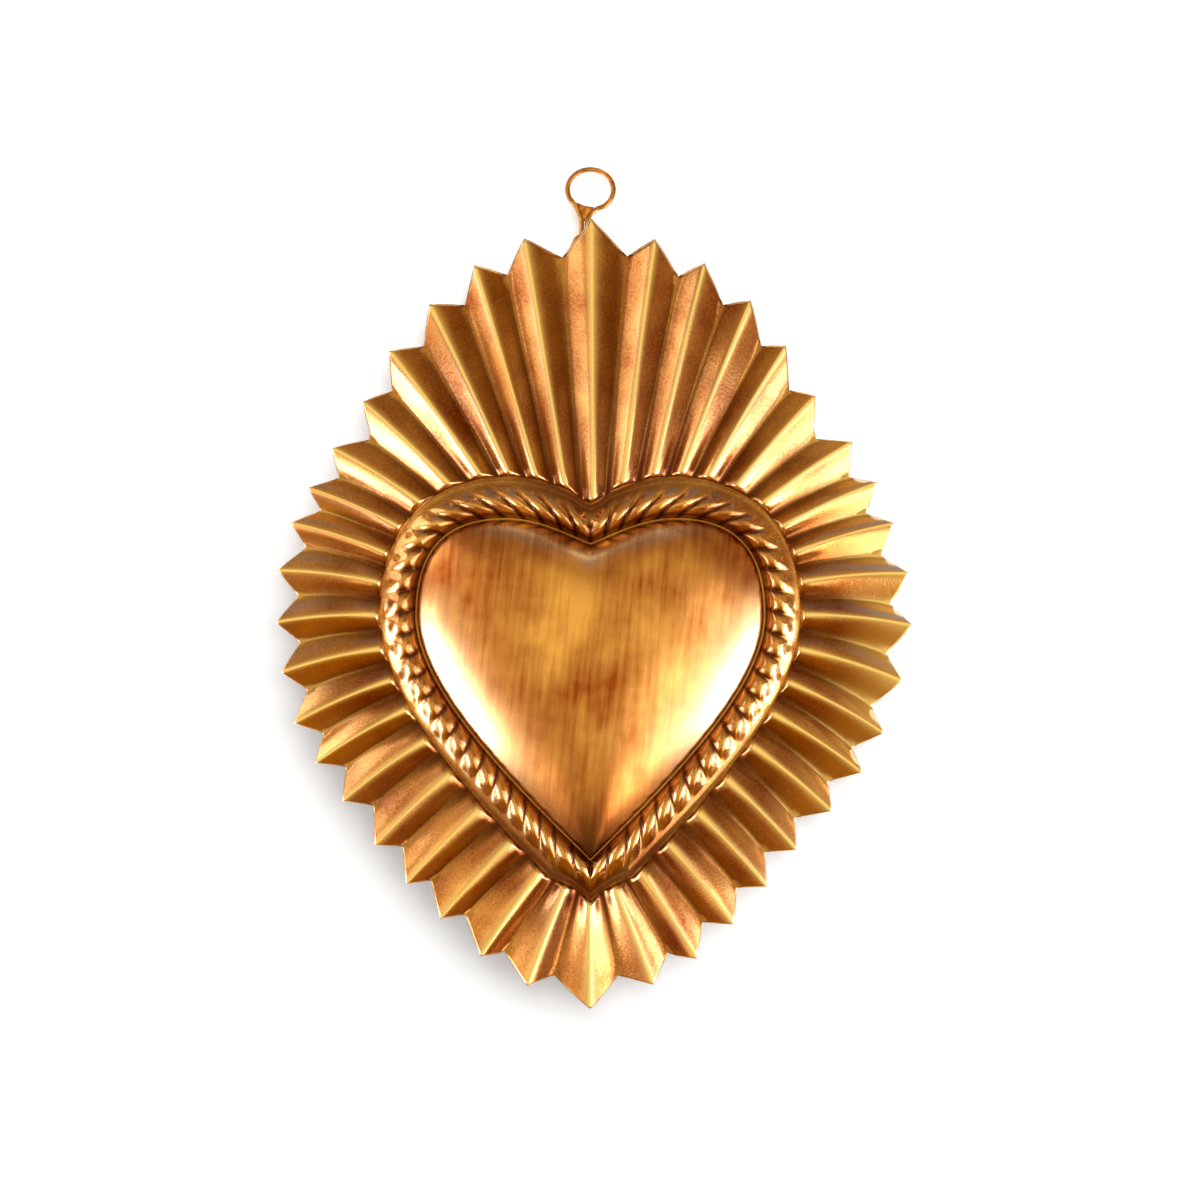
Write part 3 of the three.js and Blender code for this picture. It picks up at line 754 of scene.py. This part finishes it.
def make_lights(hub, pieces, wall):
    """Panels of light that stand at both sides of the ornament, bright low down and weaker above and further out,
    two that lie below it, and a soft window for the wall alone, in which the ornament casts its shadow."""
    ornament = bpy.data.collections.new("ornament")
    for piece in pieces:
        ornament.objects.link(piece)
    backdrop = bpy.data.collections.new("backdrop")
    backdrop.objects.link(wall)
    white, pale, warm = "#ffffff", "#ffecd0", "#ffd8a4"
    # Side, depth and height from the hub, radiance and colour
    standing = (
        ("left_bright", -1, (-14, -50), (-85, -10), 8, white),
        ("left_fading", -1, (-14, -50), (-10, 8), 3, white),
        ("left_middle", -1, (-14, -60), (8, 25), 0.8, warm),
        ("left_top", -1, (-1, -68), (25, 90), 1.8, pale),
        ("left_soft", -1, (-50, -72), (-85, -14), 3.5, pale),
        ("left_far", -1, (-72, -140), (-90, 85), 0.6, warm),
        ("right_bright", 1, (-14, -50), (-75, -12), 8, white),
        ("right_fading", 1, (-14, -50), (-12, 8), 3, white),
        ("right_top", 1, (-14, -62), (8, 80), 0.2, warm),
        ("right_soft", 1, (-50, -70), (-90, -22), 4, pale),
        ("right_middle", 1, (-50, -70), (-22, 15), 0.9, warm),
        ("right_far", 1, (-70, -150), (-120, 25), 1.8, pale),
        ("right_farther", 1, (-150, -250), (-120, -40), 1.5, pale),
    )
    for name, side, depth, height, radiance, colour in standing:
        centre = hub + [side * PANEL_DISTANCE, sum(depth) / 2, sum(height) / 2]
        size = (height[1] - height[0], depth[0] - depth[1])
        add_panel(name, centre, (-side, 0, 0), (0, 0, 1), size, radiance, colour, ornament)
    # Middle from the hub, size and radiance
    lying = (
        ("below_right", (78, -78, -100), (56, 60), 2.6),
        ("below_left", (-80, -78, -100), (50, 60), 0.9),
    )
    for name, middle, size, radiance in lying:
        add_panel(name, hub + middle, (0, 0, 1), (1, 0, 0), size, radiance, warm, ornament)
    window = add_light("window", "SUN", (-0.42, 0.7, -0.58), energy=4.5, angle=np.radians(90))
    window.light_linking.receiver_collection = backdrop
    window.visible_glossy = False


def make_world():
    """A dim room that the metal reflects: gold behind the camera, brown round the sides, warmer below, and cool
    straight above. Matt surfaces get a plain grey light from it, and a camera that looks past the wall sees
    white."""
    world = bpy.data.worlds.new("dim room")
    bpy.context.scene.world = world
    world.use_nodes = True
    tree = world.node_tree
    tree.nodes.clear()
    way = add_node(tree, "ShaderNodeTexCoord").outputs["Generated"]
    split = add_node(tree, "ShaderNodeSeparateXYZ", {"Vector": way}).outputs
    height = add_node(tree, "ShaderNodeMapRange", {"Value": split["Z"], "From Min": -1, "From Max": 1})
    ramp = add_node(tree, "ShaderNodeValToRGB", {"Fac": height.outputs["Result"]})
    ramp.color_ramp.elements[0].color = (0.46, 0.17, 0.004, 1)
    ramp.color_ramp.elements[1].color = (0.3, 0.3, 0.43, 1)
    ramp.color_ramp.elements.new(0.93).color = (0.54, 0.31, 0.1, 1)
    ramp.color_ramp.elements.new(0.5).color = (0.25, 0.085, 0.002, 1)
    front = add_node(tree, "ShaderNodeMapRange", {"Value": split["Y"], "From Min": -0.6, "From Max": -0.95})
    path = add_node(tree, "ShaderNodeLightPath").outputs
    colour = ramp.outputs["Color"]
    for share, other in (
        (front.outputs["Result"], (1, 0.73, 0.26, 1)),
        (path["Is Diffuse Ray"], (0.15, 0.15, 0.15, 1)),
        (path["Is Camera Ray"], (1, 1, 1, 1)),
    ):
        colour = add_node(tree, "ShaderNodeMix", {0: share, 6: colour, 7: other}, data_type="RGBA").outputs[2]
    glow = add_node(tree, "ShaderNodeBackground", {"Color": colour})
    add_node(tree, "ShaderNodeOutputWorld", {"Surface": glow.outputs[0]})


def make_camera():
    camera = bpy.data.cameras.new("camera")
    camera.sensor_width = SENSOR_WIDTH
    camera.lens = SENSOR_WIDTH * CAMERA_DISTANCE / (FRAME_PIXELS * PIXEL_SIZE)
    camera.clip_end = 20
    viewer = bpy.data.objects.new("camera", camera)
    bpy.context.scene.collection.objects.link(viewer)
    x = (FRAME_PIXELS / 2 - HANG_POINT_PIXEL[0]) * PIXEL_SIZE
    z = -(FRAME_PIXELS / 2 - HANG_POINT_PIXEL[1]) * PIXEL_SIZE
    viewer.location = np.array([x, -CAMERA_DISTANCE, z]) * MM
    viewer.rotation_euler = (np.pi / 2, 0, 0)
    bpy.context.scene.camera = viewer


# The assembly
sheet_low, sheet_high = (np.array(corner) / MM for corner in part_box("pressed_sheet"))
tip_height = sheet_high[2]
top_radius = ray_rings(np.array([0.0]))[0][-1, 0, 2]
hub = np.array([0, sheet_low[1] + HEART_RISE, tip_height - top_radius])

make_camera()
brass = antiqued_brass()
# Thin wire, drawn and stained with the sheet: a soft shine with brown clouds
wire = clouded_metal("drawn brass wire", 1.5, 3, "#a8703c", "#e2b27a", roughness=0.3, lacquer=0.25)
# Soft solder as it flowed, tinted copper by the stain: glossier and redder
solder = clouded_metal("tinted solder", 0.8, 2, "#9c5a2a", "#e0a468", roughness=0.25, lacquer=0.3)
pieces = (
    (make_sheet(hub), "pressed_sheet", "antique_sheet", brass),
    (make_wire(tip_height), "hanger_wire", "wire", wire),
    (make_web(tip_height), "crotch_solder", "solder", solder),
    (make_seat(tip_height, hub), "leg_solder", "solder", solder),
)
for piece in pieces:
    stand_for(*piece)
wall = make_wall((sheet_high[1] + WALL_GAP) * MM, hub[2])
make_lights(hub, [piece[0] for piece in pieces], wall)
make_world()
bpy.context.scene.view_settings.view_transform = "Standard"
